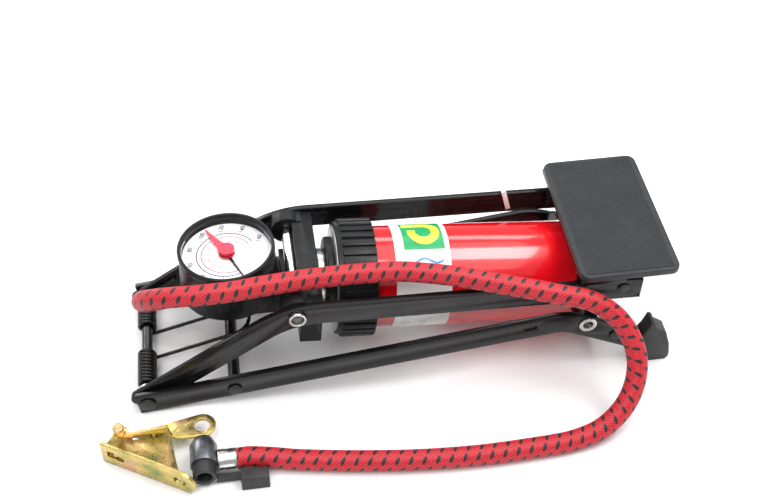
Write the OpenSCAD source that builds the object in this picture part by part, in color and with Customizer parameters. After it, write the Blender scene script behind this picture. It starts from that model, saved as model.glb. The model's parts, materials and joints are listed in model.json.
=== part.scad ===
// Foot air pump with one cylinder, shown folded.
// X runs along the pump from the front axle (-X) to the pedal (+X), Y is across it, Z is up.
// The origin is on the floor, under the middle of the frame. All sizes are in millimetres.

/* [Frame] */
// Thickness of the flat steel bars
bar_t = 3; // [2:0.5:3]
// Height of the base bars
base_bar_h = 12.6; // [11.6:0.2:12.8]
// Height of the lever bars
lever_bar_h = 13; // [12:0.5:14]
// Half width over the base bars
base_half_w = 41.3; // [41.2:0.1:43]
// Half width over the lever bars
lever_half_w = 37.4; // [37:0.1:37.5]
// Radius of the front axle
axle_r = 2.6; // [2.2:0.1:2.7]
// Radius of the torsion spring's coils, over the wire
spring_r = 5.2; // [5:0.1:5.6]
// Radius of the spring wire
wire_r = 1; // [0.8:0.1:1.1]

/* [Cylinder] */
// Outer radius of the cylinder tube
tube_r = 26.8; // [26:0.1:27]
// Wall of the cylinder tube
tube_wall = 1.6; // [1.2:0.1:2]
// Radius over the ribs of the front cap
cap_r = 31.2; // [30.5:0.1:31.5]
// Number of ribs on the front cap
cap_ribs = 36; // [18:2:40]
// Radius of the hollow piston rod
rod_r = 6; // [5.5:0.1:6.5]
// Radius of the bore in the piston rod
rod_bore_r = 3; // [2:0.1:3.5]

/* [Gauge] */
// Outer radius of the gauge bezel
gauge_r = 25; // [24:0.5:25]
// Height of the dial's face
dial_z = 65.5; // [65:0.5:66]

/* [Pedal] */
// Length of the pedal along the lever
pedal_l = 51.5; // [47:0.5:51.5]
// Half width of the pedal
pedal_half_w = 44.7; // [43:0.1:45]
// Height of the pedal's tread
pedal_top = 71; // [70.5:0.5:72]
// Number of ribs on the pedal's tread
pedal_ribs = 14; // [8:1:16]

/* [Hose] */
// Outer diameter of the braided hose
hose_d = 10.6; // [10:0.2:10.6]
// Number of sides of the hose's tube
hose_sides = 10; // [8:1:12]

/* [Hidden] */
$fn = 48;

// Clearances: between moving parts, and around a pin that turns.
gap = 0.3;
run = 0.05;

// Axes across the pump, as [x, z].
axle_at = [-135, 6.8];
mid_tube_at = [-89.5, 11];
rear_tube_at = [113, 21];
head_pin_at = [-54.3, 56.2];
pivot_at = [96.4, 31.6];

// The cylinder leans up towards the head. Distances "along" start at its pivot,
// and distances "above" are square to its axis.
pin_above = 10.6;
pin_dx = pivot_at[0] - head_pin_at[0];
pin_dz = head_pin_at[1] - pivot_at[1];
pin_reach = sqrt(pin_dx * pin_dx + pin_dz * pin_dz);
cylinder_tilt = atan2(pin_dz, pin_dx) - asin(pin_above / pin_reach);
pin_along = sqrt(pin_reach * pin_reach - pin_above * pin_above);
tube_bore_r = tube_r - tube_wall;
tube_start = 4;
tube_end = 118;
cap_start = 110;
cap_end = 129.6;
disc_t = 0.8;
collar_end = 134.4;
rod_collar_start = collar_end + gap;
web_start = 139;
web_end = 150;
rod_start = 26;

// Side view of the bars: straight, one round bend, straight.
base_front = [-140, 6.4];
base_slope = 7.2;
base_bend_x = 76;
base_bend_r = 30;
base_rear_slope = -27;
base_rear_l = 47;
lever_front = [-135, 6.8];
lever_slope = 33.5;
lever_bend_x = -72;
lever_bend_r = 50;
lever_rear_slope = -2;
lever_rear_l = 166.5;
lever_tip_at = [-139.3, 6.8];
lever_tip_r = 4.2;
pin_r = 3.2;
rivet_r = 4;
rivet_bore_r = 2.7;
lever_rivet_bore_r = 3.2;
mid_tube_r = 3.2;
rear_tube_r = 3.3;
frame_rivet_r = 2.2;

gauge_at = [-86.5, 3];
gauge_top = 72;
case_bottom = 44;
case_bore_r = gauge_r - 1.8;
case_foot_r = gauge_r + 1.2;
needle_z = dial_z + 0.4;
pointer_z = needle_z + 0.8;
lens_z = pointer_z + 0.8;
lens_t = 1;
needle_angle = -66;
pointer_angle = 119;
body_front_x = -104;
body_rear_x = -54;
body_y = [-11, 18];
body_bottom = 33.5;
outlet_at = [-84, 13, 27.4];
hose_start_x = -91;
barb_r = 3;

// Centre line of the hose: from the outlet under the gauge forward, round a half turn, back over
// the cylinder and the near lever bar, round a second half turn to the floor, and forward to the chuck.
hose_upper_route = [
    [-91, 13, 27.4], [-104, 13, 27.4], [-118, 10, 30.5], [-128, 2, 38], [-132, -8, 49],
    [-128, -18, 60], [-117, -25.6, 68], [-102, -28.8, 70.8], [-86, -28.6, 70.8], [-68, -26.8, 70.8],
    [-45, -25.4, 70.8], [-20, -25, 70.4], [0, -25.6, 69.4],
    [13.5, -27.7, 68.32], [15, -28, 68.2]
];
hose_lower_route = [
    [15.3, -28.06, 68.18], [16.8, -28.36, 68.06], [30, -31.6, 67], [46, -36.8, 65.8],
    [62, -42.4, 65], [78, -47.2, 63],
    [95, -51, 58.6], [108.5, -59, 48.5], [114, -70.5, 34.5], [109, -82, 20], [95.5, -90.6, 9.6],
    [78, -94.5, 5.5], [58, -96, 5.4], [30, -96.6, 5.4], [0, -95, 5.4], [-30, -91.4, 5.4],
    [-60, -86.4, 5.4], [-74, -83.6, 6.2], [-85, -82, 6.8],
    [-91, -82, 6.8]
];

// Chuck on the end of the hose.
chuck_x = -107.5;
chuck_z = 8.2;
chuck_r = 6.9;
chuck_back_y = -70;
chuck_front_y = -85.5;
chuck_hinge = [-131.4, 11];
sheet_t = 1.6;
lever_ear_y = [-67.5, -67.5 + sheet_t];
frame_ear_y = [lever_ear_y[1] + gap, lever_ear_y[1] + gap + sheet_t];
strip_from = [-157, -67.5];
strip_to = [-111.6, -95.1];
strip_h = 14;
strip_z = 0.3;
strip_t = 2;
hose_end = [-91, -82, 6.8];
stem_r = 3.2;
mouth_r = 5.8;
valve_r = 3.9;

// ---------- Shared shapes ----------

// Points of an arc about c, with n + 1 points from angle a to angle b.
function arc(c, r, a, b, n) = [
    for (i = [0 : n])
        c + r * [cos(a + (b - a) * i / n), sin(a + (b - a) * i / n)]
];

// Outline of a bar that runs straight, bends downwards round an arc, and runs straight again.
function bar_outline(start, slope, bend_x, r, rear_slope, rear_l, h, nose = [], n = 12) =
    let (
        bend = [bend_x, start[1] + (bend_x - start[0]) * tan(slope)],
        c = bend + r * [sin(slope), -cos(slope)],
        last = c + r * [-sin(rear_slope), cos(rear_slope)] + rear_l * [cos(rear_slope), sin(rear_slope)],
        up_front = h / 2 * [-sin(slope), cos(slope)],
        up_rear = h / 2 * [-sin(rear_slope), cos(rear_slope)]
    )
    concat(
        [start + up_front],
        arc(c, r + h / 2, 90 + slope, 90 + rear_slope, n),
        [last + up_rear, last - up_rear],
        arc(c, r - h / 2, 90 + rear_slope, 90 + slope, n),
        [start - up_front],
        nose
    );
base_outline = bar_outline(base_front, base_slope, base_bend_x, base_bend_r,
    base_rear_slope, base_rear_l, base_bar_h);
lever_outline = bar_outline(lever_front, lever_slope, lever_bend_x, lever_bend_r,
    lever_rear_slope, lever_rear_l, lever_bar_h, arc(lever_tip_at, lever_tip_r, 250, 124, 8));

// A side-view outline given thickness along Y, from y0 to y1.
module across_y(y0, y1) {
    translate([0, y1, 0]) rotate([90, 0, 0]) linear_extrude(y1 - y0) children();
}

// Round bar along Y from y0 to y1, centred on [x, z].
module round_y(at, r, y0, y1) {
    translate([at[0], y1, at[1]]) rotate([90, 0, 0]) cylinder(r = r, h = y1 - y0);
}

// Tube along Y from y0 to y1.
module tube_y(at, r, bore, y0, y1) {
    difference() {
        round_y(at, r, y0, y1);
        round_y(at, bore, y0 - 1, y1 + 1);
    }
}

// Tube or ring along Z.
module ring(r, bore, h) {
    difference() {
        cylinder(r = r, h = h);
        translate([0, 0, -1]) cylinder(r = bore, h = h + 2);
    }
}

// The same shape on both sides of the pump.
module both_sides() {
    children();
    mirror([0, 1, 0]) children();
}

// Places children in the cylinder's frame: Z along it from the pivot to the head, X upwards.
module on_cylinder(along = 0) {
    translate([pivot_at[0], 0, pivot_at[1]])
        rotate([0, cylinder_tilt - 90, 0])
            translate([0, 0, along])
                children();
}

// Rectangle with rounded corners, centred.
module rounded_rect(l, w, r) {
    hull()
        for (x = [-1, 1], y = [-1, 1])
            translate([x * (l / 2 - r), y * (w / 2 - r)]) circle(r = r, $fn = 32);
}

// Unit vector, the direction of a route at point i, and a side direction carried along it untwisted.
function unit(v) = v / norm(v);
function heading(route, i) =
    unit(route[min(i + 1, len(route) - 1)] - route[max(i - 1, 0)]);
function side_of(route, i) =
    let (
        ahead = heading(route, i),
        before = i == 0 ? cross(ahead, [0, 0.1, 1]) : side_of(route, i - 1)
    )
    unit(before - (before * ahead) * ahead);

// A tube swept along a route, with one ring of points for each point of the route.
module swept_tube(route, d, sides) {
    rings = [
        for (i = [0 : len(route) - 1])
            let (side = side_of(route, i), up = cross(side, heading(route, i)))
            for (k = [0 : sides - 1])
                route[i] + d / 2 * (cos(360 * k / sides) * side + sin(360 * k / sides) * up)
    ];
    last = (len(route) - 1) * sides;
    walls = [
        for (i = [0 : len(route) - 2], k = [0 : sides - 1], half = [0, 1])
            let (a = i * sides + k, b = i * sides + (k + 1) % sides)
            half == 0 ? [a, b, b + sides] : [a, b + sides, a + sides]
    ];
    ends = [[for (k = [0 : sides - 1]) sides - 1 - k], [for (k = [0 : sides - 1]) last + k]];
    polyhedron(points = rings, faces = concat(ends, walls), convexity = 6);
}

// ---------- Base frame ----------

module base_bar_near() {
    color("#1b1c1e")
        difference() {
            across_y(-base_half_w, -base_half_w + bar_t)
                polygon(base_outline);
            round_y(axle_at, axle_r, -50, -30);
            round_y(mid_tube_at, frame_rivet_r, -50, -30);
            round_y(rear_tube_at, frame_rivet_r, -50, -30);
            round_y(pivot_at, rivet_r, -50, -30);
            across_y(-50, -30)
                translate([65.8, 33.4]) rotate(base_slope) rounded_rect(7, 2.6, 1.2);
        }
}

module base_bar_far() {
    color("#1b1c1e") mirror([0, 1, 0]) base_bar_near();
}

// Spacer tube between the base bars behind the front axle, held by a rivet at each end.
module mid_cross_tube() {
    color("#202124")
        tube_y(mid_tube_at, mid_tube_r, frame_rivet_r, -base_half_w + bar_t, base_half_w - bar_t);
}

// Spacer tube between the base bars under the pedal.
module rear_cross_tube() {
    color("#202124")
        tube_y(rear_tube_at, rear_tube_r, frame_rivet_r, -base_half_w + bar_t, base_half_w - bar_t);
}

// Axle that the lever turns on, with a flat head outside each base bar.
module front_axle() {
    color("#1a1a1b") {
        round_y(axle_at, axle_r, -base_half_w, base_half_w);
        both_sides() round_y(axle_at, 4.2, base_half_w, base_half_w + 0.9);
    }
}

module axle_sleeve() {
    color("#232427") tube_y(axle_at, sleeve_r, axle_r, -31, 33);
}

// Steel washers between the sleeve and the lever bars.
module axle_washers() {
    color("silver") {
        tube_y(axle_at, 4.6, axle_r, -34.1, -31);
        tube_y(axle_at, 4.6, axle_r, 33, 34.1);
    }
}

// Torsion spring: two blocks of coils on the sleeve, and two legs that pass over the middle tube
// and are joined by a round bend. The blocks are plain tubes here, as thick as the coils.
coil_spans = [[-30, -5.5], [12, 32.5]];
sleeve_r = 2.9;
leg_y = [-7.3, 10.7];
leg_rise = 0.283;
leg_bend_at = [-88, 1.7];
leg_bend_r = 9;
function leg_z(x) = 2.7 + leg_rise * (x + 134.4);
leg_route = concat(
    [[-134.4, -6.5, 2.7], [-131, leg_y[0], leg_z(-131)], [-110, leg_y[0], leg_z(-110)]],
    [for (p = arc(leg_bend_at, leg_bend_r, -90, 90, 12)) [p[0], p[1], leg_z(p[0])]],
    [[-110, leg_y[1], leg_z(-110)], [-131, leg_y[1], leg_z(-131)], [-134.4, 13, 2.7]]
);
module torsion_spring() {
    color("#141415") {
        for (span = coil_spans)
            tube_y(axle_at, spring_r, sleeve_r, span[0], span[1]);
        swept_tube(leg_route, 2 * wire_r, 8);
    }
}

// Tails of the spring, along the inner faces of the lever bars.
module spring_tails() {
    color("#141415")
        both_sides()
            translate([-132.5, lever_half_w - bar_t - wire_r, 11.6])
                rotate([0, 90 - lever_slope, 0]) cylinder(r = wire_r, h = 18);
}

// Rivets through the spacer tubes, with low heads outside the base bars.
module frame_rivets() {
    color("#161617")
        for (at = [mid_tube_at, rear_tube_at]) {
            round_y(at, frame_rivet_r, -base_half_w, base_half_w);
            both_sides() round_y(at, 3.6, base_half_w, base_half_w + 0.8);
        }
}

// Rubber boot over the rear end of a base bar.
boot_outline = [
    [126.5, 0], [141.5, 0], [143.5, 2], [143.5, 5], [142.5, 12], [139.5, 21.5], [134, 25.5],
    [132.5, 29], [130.5, 30], [128, 23], [123.5, 15.5], [124.5, 8]
];
module rear_foot_near() {
    color("#17181a")
        difference() {
            across_y(-44.5, -35.5) polygon(boot_outline);
            across_y(-base_half_w, -base_half_w + bar_t)
                polygon(base_outline);
        }
}

module rear_foot_far() {
    color("#17181a") mirror([0, 1, 0]) rear_foot_near();
}

// Hollow rivet across the base that the cylinder swings on, flared outside each bar.
module rear_pivot_tube() {
    color("silver")
        difference() {
            union() {
                round_y(pivot_at, rivet_r, -base_half_w, base_half_w);
                both_sides() round_y(pivot_at, 4.7, base_half_w, base_half_w + 0.8);
            }
            round_y(pivot_at, rivet_bore_r, -50, 50);
        }
}

module pivot_spacers() {
    color("#2a2b2e")
        both_sides() tube_y(pivot_at, 6, rivet_r, tube_r + gap, base_half_w - bar_t);
}

// ---------- Lever ----------

module lever_bar_near() {
    color("#17181a")
        difference() {
            across_y(-lever_half_w, -lever_half_w + bar_t)
                polygon(lever_outline);
            round_y(axle_at, axle_r + run, -50, -30);
            round_y(head_pin_at, rivet_r, -50, -30);
            for (at = pedal_rivets_at)
                round_y(at, 2, -50, -30);
        }
}

module lever_bar_far() {
    color("#17181a") mirror([0, 1, 0]) lever_bar_near();
}

// Hollow rivets that close the lever bars over the ends of the head pin.
module lever_rivets() {
    color("silver")
        both_sides()
            difference() {
                union() {
                    round_y(head_pin_at, rivet_r, lever_half_w - bar_t, lever_half_w);
                    round_y(head_pin_at, 4.4, lever_half_w, lever_half_w + 2);
                }
                round_y(head_pin_at, lever_rivet_bore_r, 30, 50);
            }
}

// Pressed steel plate under the tread, with a flange inside each lever bar.
pedal_rivets_at = [[92, 54.6], [114, 52.4]];
pad_z = pedal_top - 4.5;
plate_z = pad_z - 2.4;
pedal_x0 = 88.5;
plate_x0 = 89;
flange_x = [89.5, 119.5];
flange_bottom = 47.5;
module pedal_plate() {
    color("#26272b")
        difference() {
            union() {
                translate([plate_x0, -44, plate_z]) cube([23, 88, 2.4]);
                translate([plate_x0, -34, plate_z]) cube([47, 68, 2.4]);
                both_sides()
                    translate([flange_x[0], lever_half_w - bar_t - 2.2, flange_bottom])
                        cube([flange_x[1] - flange_x[0], 2.2, pad_z - flange_bottom]);
            }
            for (at = pedal_rivets_at)
                round_y(at, 2, -50, 50);
        }
}

// Rubber tread with ribs across the pedal.
module pedal_pad() {
    pitch = (pedal_l - 6) / pedal_ribs;
    color("#33373d")
        difference() {
            translate([pedal_x0 + pedal_l / 2, 0, pad_z])
                linear_extrude(pedal_top - pad_z) rounded_rect(pedal_l, 2 * pedal_half_w, 5);
            for (i = [1 : pedal_ribs])
                translate([pedal_x0 + 2.4 + i * pitch, -pedal_half_w + 4, pedal_top - 0.6])
                    cube([pitch * 0.4, 2 * pedal_half_w - 8, 2]);
        }
}

module pedal_rivets() {
    color("#1c1d1f")
        both_sides()
            for (at = pedal_rivets_at) {
                round_y(at, 2, lever_half_w - bar_t - 2.2, lever_half_w);
                round_y(at, 3.2, lever_half_w, lever_half_w + 0.6);
                round_y(at, 3, lever_half_w - bar_t - 3, lever_half_w - bar_t - 2.2);
            }
}

// Nylon tie round the far lever bar, slanted, with its end standing up.
tie_at = [67.4, 53.5];
tie_slant = 14;
tie_w = 2.6;
module storage_tie() {
    color("white")
        difference() {
            translate([tie_at[0], lever_half_w - bar_t - 0.6, tie_at[1]])
                rotate([0, -tie_slant, 0])
                    translate([-tie_w / 2, 0, -5]) cube([tie_w, bar_t + 1.1, 13.4]);
            across_y(lever_half_w - bar_t, lever_half_w)
                polygon(lever_outline);
        }
}

// ---------- Cylinder ----------

module cylinder_tube() {
    color("#b3121b")
        on_cylinder(tube_start) ring(tube_r, tube_bore_r, tube_end - tube_start);
}

// Closed end of the cylinder, with two lugs that swing on the pivot tube.
lug_r = 8;
lug_neck = 14;
lug_y = 16;
module cylinder_base() {
    color("#a51119")
        difference() {
            union() {
                on_cylinder(tube_start) cylinder(r = tube_bore_r, h = 9);
                on_cylinder(tube_start - 2.5) cylinder(r = tube_r - 1.5, h = 2.5);
                both_sides() {
                    round_y(pivot_at, lug_r, lug_y, lug_y + 8);
                    on_cylinder(0)
                        translate([-lug_neck / 2, lug_y + 0.2, 2])
                            cube([lug_neck, 7.6, tube_start + 2]);
                }
            }
            round_y(pivot_at, rivet_r + run, -50, 50);
            on_cylinder(-12)
                translate([-lug_r - 1, -lug_y, 0])
                    cube([2 * lug_r + 2, 2 * lug_y, 12 + tube_start - 2.5]);
        }
}

// Ribbed cap screwed over the front of the tube.
module cylinder_cap() {
    color("#1d1e21")
        on_cylinder(cap_start)
            difference() {
                union() {
                    cylinder(r = cap_r - 1.4, h = cap_end - cap_start);
                    linear_extrude(cap_end - cap_start - 2.4)
                        for (i = [0 : cap_ribs - 1])
                            rotate(360 * i / cap_ribs)
                                translate([0, -1.7]) square([cap_r, 3.4]);
                }
                translate([0, 0, -1]) cylinder(r = tube_r, h = tube_end - cap_start + 1);
                translate([0, 0, 5]) cylinder(r = 10, h = 30);
            }
}

// Pale metal disc that backs the gland on the front of the cap.
module end_disc() {
    color("#b9b7b2")
        on_cylinder(cap_end) ring(28, 10, disc_t);
}

// Black collar that guides the piston rod.
module gland_collar() {
    color("#222326")
        on_cylinder(0)
            difference() {
                union() {
                    translate([0, 0, tube_end + 0.1]) cylinder(r = 10, h = cap_end + disc_t - tube_end);
                    translate([0, 0, cap_end + disc_t])
                        cylinder(r = 22, h = collar_end - cap_end - disc_t);
                }
                translate([0, 0, tube_end - 1]) cylinder(r = rod_r + run, h = 20);
            }
}

// Lip seal in the tube's mouth, round the rod.
module gland_seal() {
    color("#101011")
        on_cylinder(tube_end - 6) ring(tube_bore_r, rod_r + run, 6);
}

// Plain decorated band round the tube.
band_start = 71;
band_end = 100;
module label_band() {
    color("#dfe6dc")
        on_cylinder(band_start) ring(tube_r + 0.2, tube_r, band_end - band_start);
}

// ---------- Rod, head and gauge ----------

module piston_rod() {
    color("#c9cacb")
        on_cylinder(rod_start) ring(rod_r, rod_bore_r, web_start + 6 - rod_start);
}

// Piston, with a groove for its cup seal.
module piston() {
    color("#8f9296")
        on_cylinder(rod_start - 10)
            difference() {
                cylinder(r = tube_bore_r - 0.4, h = 14);
                translate([0, 0, 4]) ring(tube_bore_r + 1, tube_bore_r - 4, 5);
                translate([0, 0, 10]) cylinder(r = rod_r, h = 10);
                translate([0, 0, -1]) cylinder(r = rod_bore_r, h = 20);
            }
}

module piston_cup() {
    color("#141414")
        on_cylinder(rod_start - 6) ring(tube_bore_r - run, tube_bore_r - 4, 5);
}

// Bright collar that locks the rod against the head.
module rod_collar() {
    color("#d5d3cc")
        on_cylinder(rod_collar_start) ring(16.2, rod_r, web_start - rod_collar_start);
}

// Cross head: a web that holds the rod, and an ear round each end of the pin.
ear_half_w = 34.1;
ear_t = 8;
module head_block() {
    color("#1c1d1f")
        difference() {
            union() {
                on_cylinder(web_start)
                    translate([-11, -ear_half_w, 0])
                        cube([27.6, 2 * ear_half_w, web_end - web_start]);
                both_sides()
                    across_y(ear_half_w - ear_t, ear_half_w) {
                        translate(head_pin_at) circle(r = 8.4);
                        translate([head_pin_at[0], head_pin_at[1] - 8.4]) square([8, 14.6]);
                    }
            }
            round_y(head_pin_at, pin_r, -50, 50);
            on_cylinder(web_start - 1) cylinder(r = rod_r, h = 7);
            on_cylinder(web_start + 5) cylinder(r = rod_bore_r, h = 20);
        }
}

module head_pin() {
    color("#d8d8d6") round_y(head_pin_at, pin_r, -ear_half_w, ear_half_w);
}

// Ball of the non-return valve, in the head's air passage.
module check_ball() {
    color("silver") on_cylinder(web_start + 8.5) sphere(r = 2.2);
}

// Cast block between the head and the hose outlet, under the gauge. Its front end is chamfered.
module gauge_body() {
    color("#1a1b1d")
        difference() {
            union() {
                across_y(body_y[0], body_y[1])
                    polygon([
                        [body_front_x, case_bottom], [body_front_x, body_bottom + 7],
                        [body_front_x + 5, body_bottom], [body_rear_x, body_bottom],
                        [body_rear_x, 51.5], [body_rear_x - 6, 51.5], [body_rear_x - 6, case_bottom]
                    ]);
            }
            on_cylinder(web_start)
                translate([-14, -50, -20]) cube([60, 100, 20 + web_end - web_start]);
            round_y(head_pin_at, pin_r + 0.8, -50, 50);
            translate([gauge_at[0], gauge_at[1], 38]) cylinder(r = 2, h = 20);
            translate([outlet_at[0], outlet_at[1], body_bottom - 1]) cylinder(r = 2.4, h = 7);
        }
}

// Deep round case of the pressure gauge.
module gauge_case() {
    color("#1b1c1e")
        translate([gauge_at[0], gauge_at[1], case_bottom])
            difference() {
                cylinder(r1 = case_foot_r, r2 = gauge_r - 0.5, h = gauge_top - 4 - case_bottom);
                translate([0, 0, 2]) cylinder(r = case_bore_r, h = 30);
                translate([0, 0, -1]) cylinder(r = 2, h = 4);
            }
}

module gauge_bezel() {
    color("#242528")
        translate([gauge_at[0], gauge_at[1], gauge_top - 4]) ring(gauge_r, case_bore_r, 4);
}

module gauge_dial() {
    color("white")
        translate([gauge_at[0], gauge_at[1], dial_z - 1]) ring(case_bore_r, arbor_r + run, 1);
}

module gauge_lens() {
    color("lightblue", 0.3)
        translate([gauge_at[0], gauge_at[1], lens_z]) ring(case_bore_r, knob_shaft_r + run, lens_t);
}

// Curved tube inside the case that straightens with pressure and drives the needle.
module bourdon_tube() {
    color("#b08d4c")
        translate([gauge_at[0], gauge_at[1], 52])
            difference() {
                ring(17, 14.5, 5);
                translate([0, -20, -1]) cube([20, 20, 7]);
            }
}

// Needle of the gauge, on its arbor.
arbor_r = 1.2;
module gauge_needle() {
    color("#1a1a1a")
        translate([gauge_at[0], gauge_at[1], needle_z])
            rotate(needle_angle) {
                translate([0, 0, -8]) cylinder(r = arbor_r, h = 8);
                linear_extrude(0.5)
                    polygon([[-6, -1], [0, -0.8], [20, -0.25], [20, 0.25], [0, 0.8], [-6, 1]]);
                cylinder(r = 2, h = 0.5);
            }
}

// Red pointer set by hand to the pressure wanted, turned by a knob on the glass.
knob_r = 4.2;
knob_shaft_r = 1.5;
module target_pointer() {
    color("#e02338")
        translate([gauge_at[0], gauge_at[1], pointer_z])
            rotate(pointer_angle) {
                linear_extrude(0.5)
                    polygon([[0, -3], [9, -1.8], [21, -0.3], [21, 0.3], [9, 1.8], [0, 3]]);
                cylinder(r = knob_r, h = 0.5);
                cylinder(r = knob_shaft_r, h = 3.6);
                translate([0, 0, lens_t + 1.1]) cylinder(r = knob_r, h = 1.5);
            }
}

// Elbow that takes air from the gauge body to the hose, with a barb inside the hose's end.
module outlet_elbow() {
    color("#2b2c30")
        difference() {
            translate(outlet_at) {
                cylinder(r = 4.6, h = body_bottom - outlet_at[2]);
                sphere(r = 4.6);
                rotate([0, -90, 0]) cylinder(r = barb_r, h = outlet_at[0] - hose_start_x);
            }
            translate(outlet_at) {
                cylinder(r = 1.6, h = 20);
                rotate([0, -90, 0]) cylinder(r = 1.6, h = 20);
            }
        }
}

// Crimped ferrule on the front end of the hose.
module front_ferrule() {
    color("silver")
        translate([hose_start_x, outlet_at[1], outlet_at[2]])
            rotate([0, 90, 0]) ring(6, barb_r + run, 2.3);
}

module hose_upper() {
    color("#c8202e") swept_tube(hose_upper_route, hose_d, hose_sides);
}

// ---------- Hose end and chuck ----------

module hose_lower() {
    color("#c8202e") swept_tube(hose_lower_route, hose_d, hose_sides);
}

module chuck_ferrule() {
    color("silver")
        translate(hose_end) rotate([0, -90, 0]) {
            cylinder(r = 5.6, h = 9.6);
            cylinder(r = stem_r, h = 12.2);
        }
}

// Round body of the chuck, mouth towards -Y.
module chuck_tube() {
    color("#6f7478")
        difference() {
            translate([chuck_x, chuck_back_y, chuck_z]) rotate([90, 0, 0]) {
                cylinder(r1 = chuck_r - 1.8, r2 = chuck_r, h = 4);
                translate([0, 0, 4]) cylinder(r = chuck_r, h = chuck_back_y - chuck_front_y - 4);
            }
            translate([chuck_x, chuck_front_y + 10, chuck_z]) rotate([90, 0, 0])
                cylinder(r = mouth_r, h = 20);
            translate([chuck_x, hose_end[1], hose_end[2]]) rotate([0, 90, 0])
                cylinder(r = stem_r, h = 20);
        }
}

// Rubber grommet that grips the valve.
module chuck_grommet() {
    color("#141415")
        difference() {
            translate([chuck_x, chuck_front_y + 10, chuck_z]) rotate([90, 0, 0])
                cylinder(r = mouth_r, h = 17);
            translate([chuck_x, chuck_front_y + 6, chuck_z]) rotate([90, 0, 0])
                cylinder(r = valve_r, h = 40);
            translate([chuck_x + 4, hose_end[1], hose_end[2]]) rotate([0, 90, 0])
                cylinder(r = stem_r, h = 20);
        }
}

// Rubber strap from the grommet to a square dust plug.
module chuck_strap() {
    color("#17171a") {
        translate([-102, -91.4, 1]) cube([14.4, 2.2, 5]);
        translate([-90, -97, 0]) cube([14, 6.6, 9]);
    }
}

// Clip frame: a long upright strip with a slot and a hook slot, and a web that carries the pivot.
strip_dx = strip_to[0] - strip_from[0];
strip_dy = strip_to[1] - strip_from[1];
strip_l = sqrt(strip_dx * strip_dx + strip_dy * strip_dy);
strip_angle = atan2(strip_dy, strip_dx);
module chuck_frame() {
    color("#d8bf72") {
        translate([strip_from[0], strip_from[1], strip_z])
            rotate([0, 0, strip_angle]) {
                rotate([90, 0, 0])
                    linear_extrude(strip_t)
                        difference() {
                            polygon(concat([[0, strip_h], [0, 0]],
                                arc([strip_l - strip_h / 2, strip_h / 2], strip_h / 2, -90, 90, 12)));
                            translate([strip_l - 8.5, 7]) rotate(-12) rounded_rect(6.5, 4.4, 2);
                            translate([3.4, 5.6]) square([4, 4.4]);
                            translate([7, 5.8]) square([2.4, 1.8]);
                            translate([10.6, 6.6]) rounded_rect(4.6, 3.6, 1.4);
                        }
                translate([3, -1, strip_h - sheet_t - 0.1]) cube([strip_l - 22, 5, sheet_t]);
            }
        translate([0, 0, strip_z + strip_h - sheet_t - 0.4])
            linear_extrude(sheet_t)
                polygon([[-153.5, -70.6], [-147, -64], [-141.8, -64], [-141.8, -68.6],
                    [-123.2, -68.6], [-119.5, -91.2]]);
        across_y(frame_ear_y[0], frame_ear_y[1])
            difference() {
                union() {
                    translate(chuck_hinge) circle(r = 4);
                    polygon([[-145, 12.5], [-145, 13.7], [-129, 13.7], [-129, 9], [-134, 9]]);
                }
                translate(chuck_hinge) circle(r = 1.5);
            }
    }
}

// Rivet that the clip lever turns on.
module chuck_rivet() {
    color("#cfc9a8") {
        round_y(chuck_hinge, 1.5, lever_ear_y[0] - gap, frame_ear_y[1]);
        round_y(chuck_hinge, 2.2, lever_ear_y[0] - gap - 0.6, lever_ear_y[0] - gap);
        round_y(chuck_hinge, 2.6, frame_ear_y[1], frame_ear_y[1] + 0.9);
    }
}

// Clip lever: a three-cornered ear on the rivet, a shelf for the stud, and a low arm with an eye.
eye_at = [-107.6, -60.6];
stud_at = [-148, -65.5];
shelf_z = 15;
arm_z = 7.6;
module chuck_lever() {
    color("#c9b365")
        difference() {
            union() {
                across_y(lever_ear_y[0], lever_ear_y[1])
                    polygon(concat([[-151.5, shelf_z], [-151.5, shelf_z + sheet_t],
                        [-144.5, shelf_z + sheet_t], [-123.8, 19.4], [-123.8, 18]],
                    arc(chuck_hinge, 4.4, -25, -150, 10), [[-141.5, shelf_z]]));
                across_y(lever_ear_y[1] - 0.1, lever_ear_y[1] + sheet_t)
                    polygon([[-126.6, arm_z], [-122.4, arm_z], [-124.2, 17], [-126.6, 17]]);
                translate([0, 0, shelf_z + 0.1])
                    linear_extrude(sheet_t - 0.2)
                        polygon([[-151.3, -67.2], [-151.3, -61.8], [-144.6, -61.8], [-142.6, -67.2]]);
                translate([0, 0, arm_z])
                    linear_extrude(sheet_t)
                        union() {
                            polygon([[-126.6, lever_ear_y[1]], [-126.6, -57.4], [-109, -53.8],
                                [-106, -67.4], [-120, -67.4], [-122.4, lever_ear_y[1]]]);
                            translate(eye_at) circle(r = 7);
                        }
            }
            translate([eye_at[0], eye_at[1], 0]) cylinder(r = 4, h = 20);
            translate([stud_at[0], stud_at[1], 10]) cylinder(r = 1.8, h = 10);
            round_y(chuck_hinge, 1.5 + run, lever_ear_y[0] - 1, lever_ear_y[1] + 0.2);
        }
}

// Round stud on the clip lever's short end.
module chuck_stud() {
    color("#c8a24a")
        translate([stud_at[0], stud_at[1], shelf_z + sheet_t]) {
            cylinder(r = 2.8, h = 4.8);
            translate([0, 0, -sheet_t]) cylinder(r = 1.8, h = sheet_t);
        }
}

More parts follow.
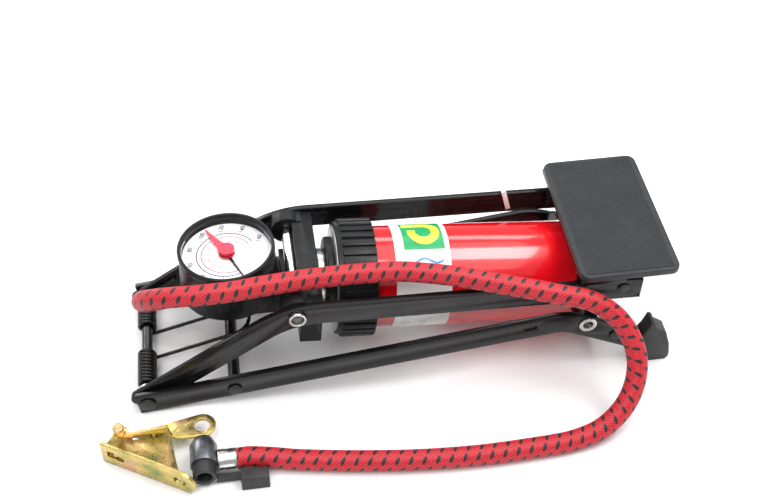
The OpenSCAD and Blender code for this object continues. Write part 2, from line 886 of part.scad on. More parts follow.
base_bar_near();
base_bar_far();
mid_cross_tube();
rear_cross_tube();
front_axle();
axle_sleeve();
axle_washers();
torsion_spring();
frame_rivets();
rear_foot_near();
rear_foot_far();
rear_pivot_tube();
pivot_spacers();
lever_bar_near();
lever_bar_far();
lever_rivets();
spring_tails();
pedal_plate();
pedal_pad();
pedal_rivets();
storage_tie();
cylinder_tube();
cylinder_base();
cylinder_cap();
end_disc();
gland_collar();
gland_seal();
label_band();
piston_rod();
piston();
piston_cup();
rod_collar();
head_block();
head_pin();
check_ball();
gauge_body();
gauge_case();
gauge_bezel();
gauge_dial();
gauge_lens();
bourdon_tube();
outlet_elbow();
front_ferrule();
hose_upper();
gauge_needle();
target_pointer();
hose_lower();
chuck_ferrule();
chuck_tube();
chuck_grommet();
chuck_strap();
chuck_frame();
chuck_rivet();
chuck_lever();
chuck_stud();
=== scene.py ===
"""Looks of the folded foot air pump: camera, light, materials and the detailed pieces."""
import json
import math

import bmesh
import bpy
from mathutils import Matrix, Vector


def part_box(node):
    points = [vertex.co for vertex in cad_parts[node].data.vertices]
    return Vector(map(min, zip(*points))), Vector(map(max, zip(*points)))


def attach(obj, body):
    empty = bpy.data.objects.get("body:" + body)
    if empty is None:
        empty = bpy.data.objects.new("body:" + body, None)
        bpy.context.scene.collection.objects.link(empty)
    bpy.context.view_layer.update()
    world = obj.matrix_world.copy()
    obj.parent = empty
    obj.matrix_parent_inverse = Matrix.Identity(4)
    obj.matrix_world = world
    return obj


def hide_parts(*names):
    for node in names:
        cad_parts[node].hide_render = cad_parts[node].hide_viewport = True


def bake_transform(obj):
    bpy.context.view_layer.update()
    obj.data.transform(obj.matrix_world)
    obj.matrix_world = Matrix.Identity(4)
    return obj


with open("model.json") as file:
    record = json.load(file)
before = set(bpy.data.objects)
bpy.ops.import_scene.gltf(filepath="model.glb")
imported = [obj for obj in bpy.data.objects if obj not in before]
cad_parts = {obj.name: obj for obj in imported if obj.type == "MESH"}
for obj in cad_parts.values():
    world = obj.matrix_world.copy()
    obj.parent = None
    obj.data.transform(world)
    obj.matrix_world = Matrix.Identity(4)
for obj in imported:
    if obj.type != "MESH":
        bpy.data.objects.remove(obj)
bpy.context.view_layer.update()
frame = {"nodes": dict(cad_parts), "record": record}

MM = 0.001
SLOT = {entry["node"]: entry["material_slot"] for entry in frame["record"]["subparts"]}
BODY = {node: body for body, nodes in frame["record"]["behaviour"]["bodies"].items() for node in nodes}


# ---------- Camera, light and floor ----------

def direction(azimuth, elevation):
    """Unit vector from the object towards a viewer; azimuth 0 looks from -Y and 90 from +X."""
    a, e = math.radians(azimuth), math.radians(elevation)
    return Vector((math.sin(a) * math.cos(e), -math.cos(a) * math.cos(e), math.sin(e)))


def aimed(back):
    """Rotation whose local Z is back and whose local Y points up."""
    right = (-back).cross(Vector((0, 0, 1))).normalized()
    up = right.cross(-back)
    return Matrix((right, up, back)).transposed().to_4x4()


CAMERA_AZIMUTH = -8.27
CAMERA_ELEVATION = 44.68
CAMERA_LENS = 57.9
CAMERA_DISTANCE = 0.6935
CAMERA_RIGHT = -0.0014
CAMERA_UP = 0.0428


def make_camera():
    back = direction(CAMERA_AZIMUTH, CAMERA_ELEVATION)
    turn = aimed(back)
    right, up = turn.col[0].to_3d(), turn.col[1].to_3d()
    data = bpy.data.cameras.new("camera")
    data.sensor_width = 36
    data.lens = CAMERA_LENS
    data.shift_x = -0.0052
    data.shift_y = -0.0011
    data.clip_start = 0.02
    camera = bpy.data.objects.new("camera", data)
    place = CAMERA_DISTANCE * back + CAMERA_RIGHT * right + CAMERA_UP * up
    camera.matrix_world = Matrix.Translation(place) @ turn
    bpy.context.scene.collection.objects.link(camera)
    bpy.context.scene.camera = camera


def area_light(name, azimuth, elevation, distance, size, power, target=(0, 0, 0.03)):
    """Rectangular light at a distance from its target, facing it."""
    data = bpy.data.lights.new(name, "AREA")
    data.shape = "RECTANGLE"
    data.size, data.size_y = size
    data.energy = power
    light = bpy.data.objects.new(name, data)
    back = direction(azimuth, elevation)
    light.matrix_world = Matrix.Translation(Vector(target) + distance * back) @ aimed(back)
    bpy.context.scene.collection.objects.link(light)


def make_lights():
    area_light("ceiling", 0, 84, 1.7, (2.4, 2.4), 26)
    area_light("window", 86.5, 69.6, 1.43, (0.7, 0.62), 12, (0.14, 0, 0.06))
    area_light("strip", -35, 62, 1.4, (0.25, 0.9), 5)
    area_light("side", -140, 24, 1.5, (0.6, 0.5), 6)
    area_light("back", 172, 45, 1.6, (1.6, 0.3), 7)
    world = bpy.data.worlds.new("studio")
    world.use_nodes = True
    background = world.node_tree.nodes["Background"]
    background.inputs["Color"].default_value = (1, 1, 1, 1)
    background.inputs["Strength"].default_value = 0.42
    bpy.context.scene.world = world
    bpy.context.scene.view_settings.view_transform = "Standard"


def make_floor(material):
    bpy.ops.mesh.primitive_plane_add(size=12, location=(0, 0, 0))
    floor = bpy.context.object
    floor.name = "floor"
    floor.data.materials.append(material)


# ---------- Materials ----------

class Paint:
    """A node material under construction, around one Principled shader."""

    def __init__(self, name, color, roughness, metallic=0.0, **sockets):
        self.name = name
        self.material = bpy.data.materials.new(f"{name}_finish")
        self.material.use_nodes = True
        self.tree = self.material.node_tree
        self.shader = self.tree.nodes["Principled BSDF"]
        self.shader.inputs["Base Color"].default_value = (*color, 1)
        self.shader.inputs["Roughness"].default_value = roughness
        self.shader.inputs["Metallic"].default_value = metallic
        for socket, value in sockets.items():
            self.shader.inputs[socket.replace("_", " ")].default_value = value
        self.place = None

    def node(self, kind, **values):
        made = self.tree.nodes.new(kind)
        for key, value in values.items():
            if hasattr(made, key):
                setattr(made, key, value)
            else:
                made.inputs[key.replace("_", " ")].default_value = value
        return made

    def link(self, a, b):
        self.tree.links.new(a, b)

    def coordinates(self, stretch=(1, 1, 1)):
        """Object coordinates in metres, stretched to draw a grain out along an axis."""
        if self.place is None:
            self.place = self.node("ShaderNodeTexCoord").outputs["Object"]
        mapping = self.node("ShaderNodeMapping")
        mapping.inputs["Scale"].default_value = stretch
        self.link(self.place, mapping.inputs["Vector"])
        return mapping.outputs["Vector"]

    def noise(self, scale, detail=4.0, rough=0.55, stretch=(1, 1, 1)):
        made = self.node("ShaderNodeTexNoise", Scale=scale, Detail=detail, Roughness=rough)
        self.link(self.coordinates(stretch), made.inputs["Vector"])
        return made.outputs["Fac"]

    def spread(self, value, low, high, start=0.3, end=0.7):
        """value mapped from start..end to low..high."""
        made = self.node("ShaderNodeMapRange", From_Min=start, From_Max=end, To_Min=low, To_Max=high)
        self.link(value, made.inputs["Value"])
        return made.outputs["Result"]

    def math(self, operation, a, b=None, clamp=False):
        made = self.node("ShaderNodeMath", operation=operation, use_clamp=clamp)
        for index, value in enumerate((a, b)):
            if value is None:
                continue
            if isinstance(value, (int, float)):
                made.inputs[index].default_value = value
            else:
                self.link(value, made.inputs[index])
        return made.outputs["Value"]

    def mix(self, factor, a, b):
        """Colour a where factor is 0, and b where it is 1."""
        made = self.node("ShaderNodeMix", data_type="RGBA")
        self.link(factor, made.inputs[0])
        for socket, value in ((made.inputs[6], a), (made.inputs[7], b)):
            if isinstance(value, tuple):
                socket.default_value = (*value, 1)
            else:
                self.link(value, socket)
        return made.outputs[2]

    def ramp(self, value, stops):
        made = self.node("ShaderNodeValToRGB")
        elements = made.color_ramp.elements
        for index, (position, color) in enumerate(stops):
            stop = elements[index] if index < 2 else elements.new(position)
            stop.position = position
            stop.color = (*color, 1)
        self.link(value, made.inputs["Fac"])
        return made.outputs["Color"]

    def color(self, value):
        self.link(value, self.shader.inputs["Base Color"])

    def roughness(self, value):
        self.link(value, self.shader.inputs["Roughness"])

    def bump(self, height, strength, distance):
        made = self.node("ShaderNodeBump", Strength=strength, Distance=distance)
        self.link(height, made.inputs["Height"])
        if self.shader.inputs["Normal"].links:
            self.link(self.shader.inputs["Normal"].links[0].from_socket, made.inputs["Normal"])
        self.link(made.outputs["Normal"], self.shader.inputs["Normal"])


def mottled(name, dark, light, rough, metallic=0.0, scale=60.0, bump=(0.15, 0.0001, 900.0),
            stretch=(1, 1, 1), **sockets):
    """Finish whose colour and roughness drift gently, over a fine grain."""
    paint = Paint(name, light, rough[0], metallic, **sockets)
    drift = paint.noise(scale, stretch=stretch)
    paint.color(paint.mix(paint.spread(drift, 0, 1), dark, light))
    paint.roughness(paint.spread(paint.noise(scale * 3.1, stretch=stretch), *rough))
    strength, distance, grain = bump
    paint.bump(paint.noise(grain, 2, stretch=stretch), strength, distance)
    return paint


BRAID_YARNS = 18
FLECK_ROWS = 6
FLECK_SHIFT = 0.36
FLECK_SLANT = 0.3


def braid_paint():
    """Textile braid: slanted yarns over and under, and rows of black flecks along the hose.
    The UV map holds turns round the hose and its length in fleck spacings."""
    paint = Paint("hose_braid", (0.6, 0.01, 0.03), 0.5, Sheen_Weight=0.08, Sheen_Roughness=0.4)
    paint.shader.inputs["Sheen Tint"].default_value = (1, 0.45, 0.5, 1)
    split = paint.node("ShaderNodeSeparateXYZ")
    uv = paint.node("ShaderNodeUVMap", uv_map="braid")
    paint.link(uv.outputs["UV"], split.inputs[0])
    turn, run = split.outputs["X"], split.outputs["Y"]

    def wave(a, b, phase=0.0):
        """Sine of a turns round plus b fleck spacings along, from 0 to 1."""
        angle = paint.math("ADD", paint.math("MULTIPLY", turn, a), paint.math("MULTIPLY", run, b))
        angle = paint.math("MULTIPLY", paint.math("ADD", angle, phase), math.tau)
        return paint.math("MULTIPLY", paint.math("ADD", paint.math("SINE", angle), 1.0), 0.5)

    left = wave(BRAID_YARNS, 3.0)
    right = wave(BRAID_YARNS, -3.0)
    over = wave(BRAID_YARNS / 2, 3.0)
    yarn = paint.math("ADD", paint.math("MULTIPLY", left, over),
                      paint.math("MULTIPLY", right, paint.math("SUBTRACT", 1.0, over)))
    # Cells of the flecks: rows round the hose, with every other row moved along it.
    row = paint.math("MULTIPLY", turn, FLECK_ROWS)
    index = paint.math("FLOOR", row)
    odd = paint.math("MODULO", paint.math("ABSOLUTE", index), 2.0)
    across = paint.math("SUBTRACT", paint.math("FRACT", row), 0.5)
    along = paint.math("ADD", run, paint.math("MULTIPLY", odd, FLECK_SHIFT))
    along = paint.math("ADD", along, paint.math("MULTIPLY", across, FLECK_SLANT))
    along = paint.math("SUBTRACT", paint.math("FRACT", along), 0.5)
    wide = paint.math("POWER", paint.math("MULTIPLY", across, 2.5), 2.0)
    long = paint.math("POWER", paint.math("MULTIPLY", along, 6.6), 2.0)
    ragged = paint.spread(paint.noise(1400, 2), -0.25, 0.25)
    inside = paint.math("SUBTRACT", 1.05, paint.math("ADD", paint.math("ADD", wide, long), ragged))
    fleck = paint.math("MULTIPLY", inside, 6.0, clamp=True)
    # Painted shade and highlight: the red thread is darkened in the valleys between yarns and lightened on
    # their crests.
    shaded_thread = paint.mix(paint.spread(yarn, 0, 1, 0.1, 0.8), (0.30, 0.002, 0.007), (0.56, 0.005, 0.018))
    fibre_grain_and_sheen = paint.noise(2600, 2)
    # Painted sheen: pale pink glints on the fibres, mixed in where this fibre noise is high; the same noise
    # also sets the roughness and the fine bump.
    shaded_thread = paint.mix(paint.spread(fibre_grain_and_sheen, 0, 0.5, 0.5, 0.75), shaded_thread, (0.9, 0.12, 0.14))
    # Painted shade: the black flecks are darkened in the valleys between yarns as well.
    black = paint.mix(paint.spread(yarn, 0, 1, 0.2, 0.9), (0.004, 0.004, 0.005), (0.02, 0.018, 0.02))
    paint.color(paint.mix(fleck, shaded_thread, black))
    paint.roughness(paint.spread(fibre_grain_and_sheen, 0.42, 0.7))
    paint.bump(yarn, 0.35, 0.0002)
    paint.bump(fibre_grain_and_sheen, 0.2, 0.00012)
    return paint


def yellow_zinc_paint():
    """Yellow passivated zinc: gold with drifting green and pink tints."""
    paint = Paint("yellow_zinc", (0.6, 0.5, 0.2), 0.3, 0.95)
    tint = paint.noise(52, 3, 0.6)
    gold = paint.ramp(tint, [(0.3, (0.16, 0.24, 0.08)), (0.44, (0.52, 0.42, 0.13)),
                             (0.56, (0.66, 0.5, 0.2)), (0.68, (0.66, 0.36, 0.2))])
    streaks = paint.noise(240, 5, 0.7, (1, 1, 0.4))
    paint.color(paint.mix(paint.spread(streaks, 0, 0.55, 0.5, 0.8), gold, (0.3, 0.24, 0.08)))
    paint.roughness(paint.spread(paint.noise(400), 0.2, 0.42))
    paint.bump(paint.noise(900, 3), 0.12, 0.0002)
    return paint


def make_materials():
    made = [
        mottled("black_enamel", (0.003, 0.003, 0.0035), (0.008, 0.008, 0.009), (0.2, 0.34), 0.0, 25,
                (0.08, 0.0002, 320.0), Specular_IOR_Level=0.25, Coat_Weight=0.12, Coat_Roughness=0.1),
        mottled("black_steel", (0.003, 0.003, 0.0035), (0.011, 0.0105, 0.01), (0.18, 0.34), 0.1, 120,
                Specular_IOR_Level=0.45),
        mottled("zinc_steel", (0.45, 0.45, 0.44), (0.72, 0.72, 0.7), (0.18, 0.36), 1.0, 180),
        mottled("bright_steel", (0.6, 0.6, 0.58), (0.85, 0.85, 0.84), (0.1, 0.24), 1.0, 90,
                (0.06, 0.0001, 1500.0), (1, 0.2, 1)),
        mottled("foot_rubber", (0.008, 0.008, 0.009), (0.02, 0.021, 0.023), (0.45, 0.62), 0.0, 90,
                (0.3, 0.0002, 1400.0)),
        mottled("tread_rubber", (0.009, 0.011, 0.014), (0.016, 0.019, 0.024), (0.5, 0.66), 0.0, 70,
                (0.3, 0.0002, 1800.0), Sheen_Weight=0.1),
        mottled("tie_nylon", (0.88, 0.88, 0.87), (0.95, 0.95, 0.94), (0.35, 0.5), 0.0, 200),
        mottled("red_enamel", (0.62, 0.003, 0.008), (0.74, 0.005, 0.012), (0.14, 0.22), 0.0, 18,
                (0.06, 0.0003, 260.0), Coat_Weight=0.8, Coat_Roughness=0.06),
        mottled("label_film", (0.80, 0.82, 0.80), (0.92, 0.93, 0.92), (0.22, 0.34), 0.0, 40),
        mottled("black_plastic", (0.006, 0.0063, 0.007), (0.013, 0.0135, 0.015), (0.3, 0.46), 0.0, 80,
                (0.2, 0.0001, 2200.0), Specular_IOR_Level=0.25),
        mottled("seal_rubber", (0.006, 0.006, 0.006), (0.014, 0.014, 0.014), (0.35, 0.5), 0.0, 90),
        mottled("pale_metal", (0.5, 0.49, 0.46), (0.68, 0.67, 0.63), (0.3, 0.48), 0.9, 120),
        mottled("piston_alloy", (0.36, 0.37, 0.38), (0.5, 0.51, 0.52), (0.25, 0.4), 1.0, 150),
        mottled("dial_white", (0.82, 0.82, 0.84), (0.9, 0.9, 0.91), (0.4, 0.5), 0.0, 30,
                (0.02, 0.0001, 900.0)),
        mottled("bourdon_brass", (0.42, 0.3, 0.1), (0.62, 0.46, 0.18), (0.22, 0.4), 1.0, 140),
        mottled("needle_black", (0.004, 0.004, 0.004), (0.012, 0.012, 0.012), (0.35, 0.5), 0.0, 300),
        mottled("pointer_red", (0.72, 0.008, 0.035), (0.86, 0.014, 0.06), (0.25, 0.38), 0.0, 150,
                Subsurface_Weight=0.1),
        mottled("outlet_alloy", (0.08, 0.08, 0.09), (0.16, 0.16, 0.17), (0.35, 0.5), 0.6, 200),
        mottled("ferrule_alloy", (0.55, 0.55, 0.53), (0.8, 0.8, 0.78), (0.16, 0.34), 1.0, 160),
        mottled("chuck_zinc", (0.1, 0.11, 0.12), (0.24, 0.25, 0.27), (0.26, 0.44), 0.85, 150,
                (0.2, 0.0002, 800.0)),
        mottled("dial_print_black", (0.02, 0.02, 0.025), (0.06, 0.06, 0.07), (0.5, 0.6), 0.0, 500),
        mottled("dial_print_red", (0.7, 0.05, 0.12), (0.8, 0.1, 0.18), (0.5, 0.6), 0.0, 500),
        mottled("print_green", (0.005, 0.30, 0.09), (0.01, 0.38, 0.12), (0.25, 0.35), 0.0, 60),
        mottled("print_yellow", (0.82, 0.82, 0.03), (0.92, 0.92, 0.08), (0.25, 0.35), 0.0, 60),
        mottled("print_blue", (0.02, 0.2, 0.5), (0.05, 0.3, 0.62), (0.25, 0.35), 0.0, 60),
        mottled("floor_paper", (0.86, 0.86, 0.865), (0.89, 0.89, 0.892), (0.6, 0.75), 0.0, 3,
                (0.02, 0.0002, 300.0)),
        braid_paint(),
        yellow_zinc_paint(),
        Paint("lens_clear", (1, 1, 1), 0.02, 0.0, Transmission_Weight=1.0, IOR=1.06),
    ]
    return {paint.name: paint.material for paint in made}


# ---------- Mesh helpers ----------

def finished(name, mesh, body, slot, replaced=(), material=None, smooth=35):
    """Puts a mesh in the scene as a piece that rides on a body."""
    mesh.polygons.foreach_set("use_smooth", [True] * len(mesh.polygons))
    mesh.set_sharp_from_angle(angle=math.radians(smooth))
    mesh.materials.clear()
    mesh.materials.append(MATERIAL[material or slot])
    piece = bpy.data.objects.new(name, mesh)
    bpy.context.scene.collection.objects.link(piece)
    if body:
        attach(piece, body)
    if replaced:
        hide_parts(*replaced)
    return piece


def mesh_from(name, verts, faces):
    mesh = bpy.data.meshes.new(name)
    mesh.from_pydata([tuple(v) for v in verts], [], faces)
    mesh.update()
    return mesh


def frames_along(path, first_side=None):
    """Tangent and side at each point of a path, carried along it without twist."""
    tangents = []
    for i in range(len(path)):
        tangents.append((path[min(i + 1, len(path) - 1)] - path[max(i - 1, 0)]).normalized())
    side = first_side or tangents[0].orthogonal()
    sides = []
    for tangent in tangents:
        side = (side - side.dot(tangent) * tangent).normalized()
        sides.append(side)
    return tangents, sides


def tube_mesh(name, path, radius, sides=16, first_side=None, uv=None, capped=True):
    """Tube round a path. uv = (map name, length of one unit, length before the first point)."""
    tangents, starts = frames_along(path, first_side)
    verts, faces = [], []
    for point, tangent, side in zip(path, tangents, starts):
        up = tangent.cross(side)
        for k in range(sides):
            a = math.tau * k / sides
            verts.append(point + radius * (math.cos(a) * side + math.sin(a) * up))
    for i in range(len(path) - 1):
        for k in range(sides):
            a, b = i * sides + k, i * sides + (k + 1) % sides
            faces.append((a, b, b + sides, a + sides))
    if capped:
        last = (len(path) - 1) * sides
        faces.append(tuple(range(sides - 1, -1, -1)))
        faces.append(tuple(range(last, last + sides)))
    mesh = mesh_from(name, verts, faces)
    if uv:
        map_name, unit, before = uv
        lengths = [before]
        for a, b in zip(path, path[1:]):
            lengths.append(lengths[-1] + (b - a).length)
        layer = mesh.uv_layers.new(name=map_name)
        for index in range((len(path) - 1) * sides):
            i, k = divmod(index, sides)
            corners = ((k, i), (k + 1, i), (k + 1, i + 1), (k, i + 1))
            for loop, (turn, ring) in zip(mesh.polygons[index].loop_indices, corners):
                layer.data[loop].uv = (turn / sides, lengths[ring] / unit)
    return mesh, starts[-1]


def refined(node, width, segments=2, slot=None, name=None):
    """Copy of a CAD node with its hard edges rounded, which stands for the node."""
    source = frame["nodes"][node]
    mesh = source.data.copy()
    mesh.transform(source.matrix_world)
    work = bmesh.new()
    work.from_mesh(mesh)
    bmesh.ops.remove_doubles(work, verts=work.verts, dist=1e-6)
    bmesh.ops.dissolve_limit(work, angle_limit=math.radians(0.6), verts=work.verts, edges=work.edges)
    bmesh.ops.recalc_face_normals(work, faces=work.faces)
    hard = [edge for edge in work.edges
            if len(edge.link_faces) == 2 and edge.calc_face_angle() > math.radians(38)]
    bmesh.ops.bevel(work, geom=hard, offset=width, offset_type="OFFSET", segments=segments,
                    profile=0.5, affect="EDGES", clamp_overlap=True)
    bmesh.ops.remove_doubles(work, verts=work.verts, dist=1e-7)
    work.to_mesh(mesh)
    work.free()
    return finished(name or f"{node}_piece", mesh, BODY[node], slot or SLOT[node], [node])


def merged(name, meshes):
    """One mesh out of several."""
    work = bmesh.new()
    for mesh in meshes:
        work.from_mesh(mesh)
    result = bpy.data.meshes.new(name)
    work.to_mesh(result)
    work.free()
    return result


# ---------- Hose ----------

HOSE_D = 10.6 * MM
FLECK_PITCH = 6.7 * MM
UPPER_ROUTE = [
    (-91, 13, 27.4), (-104, 13, 27.4), (-118, 10, 30.5), (-128, 2, 38), (-132, -8, 49),
    (-128, -18, 60), (-117, -25.6, 68), (-102, -28.8, 70.8), (-86, -28.6, 70.8), (-68, -26.8, 70.8),
    (-45, -25.4, 70.8), (-20, -25, 70.4), (0, -25.6, 69.4),
    (13.5, -27.7, 68.32), (15, -28, 68.2),
]
LOWER_ROUTE = [
    (15.3, -28.06, 68.18), (16.8, -28.36, 68.06), (30, -31.6, 67), (46, -36.8, 65.8),
    (62, -42.4, 65), (78, -47.2, 63),
    (95, -51, 58.6), (108.5, -59, 48.5), (114, -70.5, 34.5), (109, -82, 20), (95.5, -90.6, 9.6),
    (78, -94.5, 5.5), (58, -96, 5.4), (30, -96.6, 5.4), (0, -95, 5.4), (-30, -91.4, 5.4),
    (-60, -86.4, 5.4), (-74, -83.6, 6.2), (-85, -82, 6.8),
    (-91, -82, 6.8),
]


def smooth_path(route, step=1.2 * MM):
    """Points about a step apart on a smooth curve through a route given in millimetres."""
    points = [Vector(p) * MM for p in route]
    ends = [2 * points[0] - points[1], *points, 2 * points[-1] - points[-2]]
    path, marks = [], []
    for before, a, b, after in zip(ends, ends[1:], ends[2:], ends[3:]):
        marks.append(len(path))
        count = max(2, round((b - a).length / step))
        da = (b - before).normalized() * (b - a).length
        db = (after - a).normalized() * (b - a).length
        for i in range(count):
            t = i / count
            path.append(a * (2 * t**3 - 3 * t**2 + 1) + da * (t**3 - 2 * t**2 + t)
                        + b * (3 * t**2 - 2 * t**3) + db * (t**3 - t**2))
    path.append(points[-1])
    return path, marks


def length_of(path):
    return sum((b - a).length for a, b in zip(path, path[1:]))


def make_hose():
    """One hose in two pieces, which meet on top of the cylinder."""
    path, marks = smooth_path(UPPER_ROUTE + LOWER_ROUTE[1:])
    path = [Vector((p.x, p.y, max(p.z, HOSE_D / 2))) for p in path]
    meeting = marks[len(UPPER_ROUTE) - 1]
    upper, lower = path[:meeting + 1], path[meeting:]
    mesh, side = tube_mesh("hose_upper_braid", upper, HOSE_D / 2, 20, Vector((0, 0, 1)),
                           ("braid", FLECK_PITCH, 0))
    first = finished("hose_upper_braid", mesh, None, "hose_braid", ["hose_upper"], smooth=60)
    mesh, _ = tube_mesh("hose_lower_braid", lower, HOSE_D / 2, 20, side,
                        ("braid", FLECK_PITCH, length_of(upper)))
    second = finished("hose_lower_braid", mesh, None, "hose_braid", ["hose_lower"], smooth=60)
    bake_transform(first)
    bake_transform(second)
    print("hose lengths", length_of(upper), length_of(lower))
    return first, upper, second, lower


# ---------- Spring ----------

AXLE = Vector((-135, 0, 6.8)) * MM
WIRE_R = 1.0 * MM
COIL_R = 4.2 * MM


def coil_path(y0, y1, turns, start_angle):
    """Helix round the axle from y0 to y1."""
    path = []
    steps = int(turns * 22)
    for i in range(steps + 1):
        t = i / steps
        a = start_angle + math.tau * turns * t
        path.append(AXLE + Vector((COIL_R * math.cos(a), (y0 + (y1 - y0) * t) * MM, COIL_R * math.sin(a))))
    return path


def leg_height(x):
    """Height of the spring's two legs, which rise from under the axle."""
    return 2.7 + 0.283 * (x + 134.4)


def make_spring():
    """Two coils round the axle, joined by a long loop towards the middle of the frame."""
    bend = [(-88 + 9 * math.cos(a), 1.7 + 9 * math.sin(a))
            for a in (math.pi * (i / 24 - 0.5) for i in range(25))]
    near = [Vector((x, -7.3, leg_height(x))) * MM for x in (-131, -122, -110, -98)]
    far = [Vector((x, 10.7, leg_height(x))) * MM for x in (-98, -110, -122, -131)]
    middle = [Vector((x, y, leg_height(x))) * MM for x, y in bend]
    bottom = -math.pi / 2
    path = (coil_path(-29, -6.5, 10, bottom) + near + middle + far
            + coil_path(12.0, 31.5, 9, bottom))
    mesh, _ = tube_mesh("spring_wire", path, WIRE_R, 12)
    finished("spring_wire", mesh, "base", "black_steel", ["torsion_spring"], smooth=60)


# ---------- Gauge ----------

GAUGE = Vector((-86.5, 3, 65.5)) * MM
SCALE_START = -66
SCALE_SWEEP = -264


def ring_sector(radius, half_width, a0, a1, z, steps):
    """Flat arc about the gauge's centre."""
    verts, faces = [], []
    for i in range(steps + 1):
        a = math.radians(a0 + (a1 - a0) * i / steps)
        for r in (radius - half_width, radius + half_width):
            verts.append(GAUGE + Vector((r * MM * math.cos(a), r * MM * math.sin(a), z * MM)))
    for i in range(steps):
        faces.append((2 * i, 2 * i + 1, 2 * i + 3, 2 * i + 2))
    return mesh_from("arc", verts, faces)


def tick(angle, r0, r1, width, z):
    """Radial mark on the dial."""
    a = math.radians(angle)
    along, side = Vector((math.cos(a), math.sin(a), 0)), Vector((-math.sin(a), math.cos(a), 0))
    lift = Vector((0, 0, z * MM))
    corners = [GAUGE + lift + along * r * MM + side * s * width / 2 * MM
               for r, s in ((r0, -1), (r1, -1), (r1, 1), (r0, 1))]
    return mesh_from("tick", corners, [(0, 1, 2, 3)])


def number(text, angle, radius, size, z):
    """A number lying on the dial, upright for a reader on the open side of the scale."""
    curve = bpy.data.curves.new("number", "FONT")
    curve.body = text
    curve.size = size * MM
    curve.align_x = "CENTER"
    curve.align_y = "CENTER"
    curve.resolution_u = 3
    curve.offset = 0.022 * size * MM
    obj = bpy.data.objects.new("number", curve)
    bpy.context.scene.collection.objects.link(obj)
    bpy.context.view_layer.update()
    mesh = bpy.data.meshes.new_from_object(obj.evaluated_get(bpy.context.evaluated_depsgraph_get()))
    bpy.data.objects.remove(obj)
    a = math.radians(angle)
    place = GAUGE + Vector((radius * MM * math.cos(a), radius * MM * math.sin(a), z * MM))
    mesh.transform(Matrix.Translation(place) @ Matrix.Rotation(math.radians(72), 4, "Z"))
    return mesh


def make_dial_print():
    """Outer scale of 0 to 160 and inner scale of 0 to 11, just above the dial."""
    z = 0.06
    black = [ring_sector(15.6, 0.3, SCALE_START, SCALE_START + SCALE_SWEEP, z, 90)]
    for i in range(33):
        a = SCALE_START + SCALE_SWEEP * i / 32
        black.append(tick(a, 15.6, 17.3 if i % 4 == 0 else 16.6, 0.3, z))
    for i in range(9):
        black.append(number(str(20 * i), SCALE_START + SCALE_SWEEP * i / 8, 19.6, 3.5, z))
    red = [ring_sector(13.2, 0.3, SCALE_START, SCALE_START + SCALE_SWEEP, z, 90)]
    for i in range(12):
        a = SCALE_START + SCALE_SWEEP * i / 11
        red.append(tick(a, 11.6, 13.2, 0.28, z))
        red.append(number(str(i), a, 9.6, 2.5, z))
    mesh = merged("dial_scale", black)
    finished("dial_scale", mesh, "rod", "dial_white", material="dial_print_black")
    mesh = merged("dial_inner_scale", red)
    finished("dial_inner_scale", mesh, "rod", "dial_white", material="dial_print_red")


# ---------- Barrel label ----------

PIVOT = Vector((96.4, 0, 31.6)) * MM
TILT = math.radians(5.3)
ALONG = Vector((-math.cos(TILT), 0, math.sin(TILT)))
ABOVE = Vector((math.sin(TILT), 0, math.cos(TILT)))
NEAR = Vector((0, -1, 0))


def on_barrel(along, around, radius):
    """Point on the barrel: millimetres along it, and degrees round it from the top towards -Y."""
    a = math.radians(around)
    return PIVOT + along * MM * ALONG + radius * MM * (math.cos(a) * ABOVE + math.sin(a) * NEAR)


def wrapped(name, inside, along, around, radius, material, cell=0.35):
    """Printed shape on the barrel: the cells of a fine grid whose centres are inside the shape."""
    nx = round((along[1] - along[0]) / cell)
    ny = round(math.radians(around[1] - around[0]) * radius / cell)
    corners, verts, faces = {}, [], []

    def corner(i, j):
        if (i, j) not in corners:
            corners[i, j] = len(verts)
            verts.append(on_barrel(along[0] + (along[1] - along[0]) * i / nx,
                                   around[0] + (around[1] - around[0]) * j / ny, radius))
        return corners[i, j]

    for i in range(nx):
        for j in range(ny):
            if inside((i + 0.5) / nx, (j + 0.5) / ny):
                faces.append([corner(i, j), corner(i, j + 1), corner(i + 1, j + 1), corner(i + 1, j)])
    return finished(name, mesh_from(name, verts, faces), "cylinder", "label_film", material=material)


def make_label():
    refined("label_band", 0.05 * MM, 1)

    def ring(x, y):
        """A thick open ring with a short stem."""
        r = math.hypot(x - 0.46, (y - 0.5) * 1.05)
        stem = abs(y - 0.22) < 0.09 and 0.5 < x < 0.95
        return (0.2 < r < 0.4 and not (x > 0.5 and 0.3 < y < 0.46)) or stem

    wrapped("label_square", lambda x, y: True, (73.5, 95), (-40, 16), 27.04, "print_green", 1.0)
    wrapped("label_ring", ring, (73.5, 95), (-40, 16), 27.07, "print_yellow")
    wrapped("label_wave", lambda x, y: abs(y - 0.5 - 0.3 * math.sin(9 * x)) < 0.16, (75, 94), (25, 34),
            27.04, "print_blue")


# ---------- Pedal tread ----------

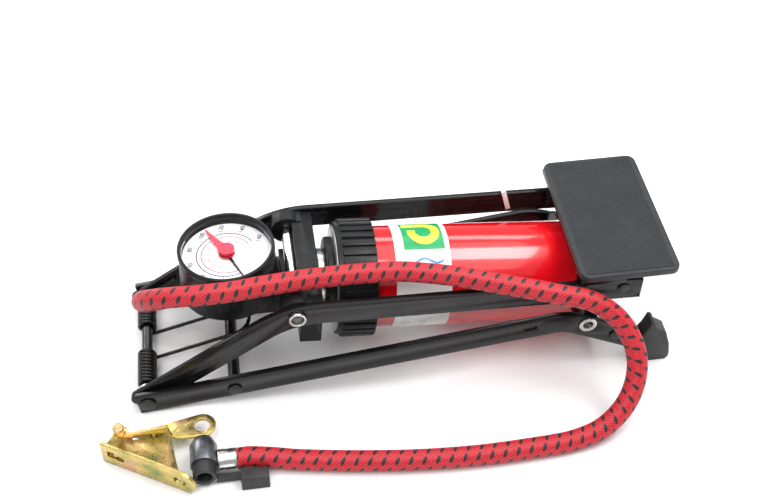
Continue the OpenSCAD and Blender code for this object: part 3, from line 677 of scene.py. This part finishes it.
def make_tread():
    """Rubber pad with rounded corners, and fine ribs across its top."""
    low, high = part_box("pedal_pad")
    x0, x1, y0, y1, z0, z1 = low[0], high[0], low[1], high[1], low[2], high[2]
    pad = bmesh.new()
    corner = 5 * MM
    ring = []
    for cx, cy, start in ((x1 - corner, y1 - corner, 0), (x0 + corner, y1 - corner, 90),
                          (x0 + corner, y0 + corner, 180), (x1 - corner, y0 + corner, 270)):
        for i in range(9):
            a = math.radians(start + 90 * i / 8)
            ring.append(pad.verts.new((cx + corner * math.cos(a), cy + corner * math.sin(a), z0)))
    base = pad.faces.new(ring)
    raised = bmesh.ops.extrude_face_region(pad, geom=[base])
    top = [v for v in raised["geom"] if isinstance(v, bmesh.types.BMVert)]
    bmesh.ops.translate(pad, verts=top, vec=(0, 0, z1 - z0 - 0.5 * MM))
    bmesh.ops.recalc_face_normals(pad, faces=pad.faces)
    rim = [e for e in pad.edges if len(e.link_faces) == 2 and e.calc_face_angle() > 1.2]
    bmesh.ops.bevel(pad, geom=rim, offset=1.1 * MM, offset_type="OFFSET", segments=4, profile=0.6,
                    affect="EDGES")
    mesh = bpy.data.meshes.new("tread_pad")
    pad.to_mesh(mesh)
    pad.free()
    finished("tread_pad", mesh, BODY["pedal_pad"], SLOT["pedal_pad"], ["pedal_pad"])
    verts, faces = [], []
    pitch = 1.35 * MM
    margin = 2.6 * MM
    count = int((x1 - x0 - 2 * margin) / pitch)
    for i in range(count):
        x = x0 + margin + (i + 0.5) * pitch
        edge = min(x - x0, x1 - x)
        inset = 2.2 * MM + (corner - math.sqrt(max(0, corner**2 - (corner - edge)**2))
                            if edge < corner else 0)
        base = len(verts)
        for y in (y0 + inset, y1 - inset):
            for dx, dz in ((-0.5, -0.8), (-0.36, -0.1), (-0.2, 0.0), (0.2, 0.0), (0.36, -0.1), (0.5, -0.8)):
                verts.append((x + dx * MM, y, z1 + dz * MM))
        faces += [[base + k, base + k + 6, base + k + 7, base + k + 1] for k in range(5)]
        faces += [[base + 5, base + 11, base + 6, base]]
        faces += [[base + k for k in range(6)], [base + 11 - k for k in range(6)]]
    finished("tread_ribs", mesh_from("tread_ribs", verts, faces), BODY["pedal_pad"], SLOT["pedal_pad"])


# ---------- Build ----------

make_camera()
make_lights()
MATERIAL = make_materials()
make_floor(MATERIAL["floor_paper"])
hose_first, first_path, hose_second, second_path = make_hose()

ROUNDED = {
    "base_bar_near": 0.5, "base_bar_far": 0.5, "lever_bar_near": 0.5, "lever_bar_far": 0.5,
    "head_block": 1.2, "gauge_body": 1.0, "gauge_case": 0.3, "gauge_bezel": 0.55,
    "rear_foot_near": 0.9, "rear_foot_far": 0.9, "cylinder_cap": 0.35, "cylinder_tube": 0.4,
    "cylinder_base": 0.8, "gland_collar": 0.6, "rod_collar": 0.5, "end_disc": 0.4,
    "pedal_plate": 0.5, "chuck_frame": 0.4, "chuck_lever": 0.35, "chuck_tube": 0.7,
    "chuck_grommet": 0.8, "chuck_strap": 0.6, "chuck_ferrule": 0.5, "chuck_stud": 0.5,
    "front_ferrule": 0.5, "lever_rivets": 0.35, "rear_pivot_tube": 0.3, "frame_rivets": 0.3,
    "pedal_rivets": 0.25, "front_axle": 0.3, "storage_tie": 0.15, "axle_washers": 0.2,
}
PLAIN = ["mid_cross_tube", "rear_cross_tube", "axle_sleeve", "pivot_spacers", "spring_tails",
         "gland_seal", "piston_rod", "piston", "piston_cup", "head_pin", "check_ball", "gauge_dial",
         "gauge_lens", "bourdon_tube", "outlet_elbow", "gauge_needle", "target_pointer", "chuck_rivet"]

pieces = {node: refined(node, width * MM) for node, width in ROUNDED.items()}
for node in PLAIN:
    shown = frame["nodes"][node]
    for entry in shown.material_slots:
        entry.material = MATERIAL[SLOT[node]]
make_spring()
make_dial_print()
make_label()
make_tread()
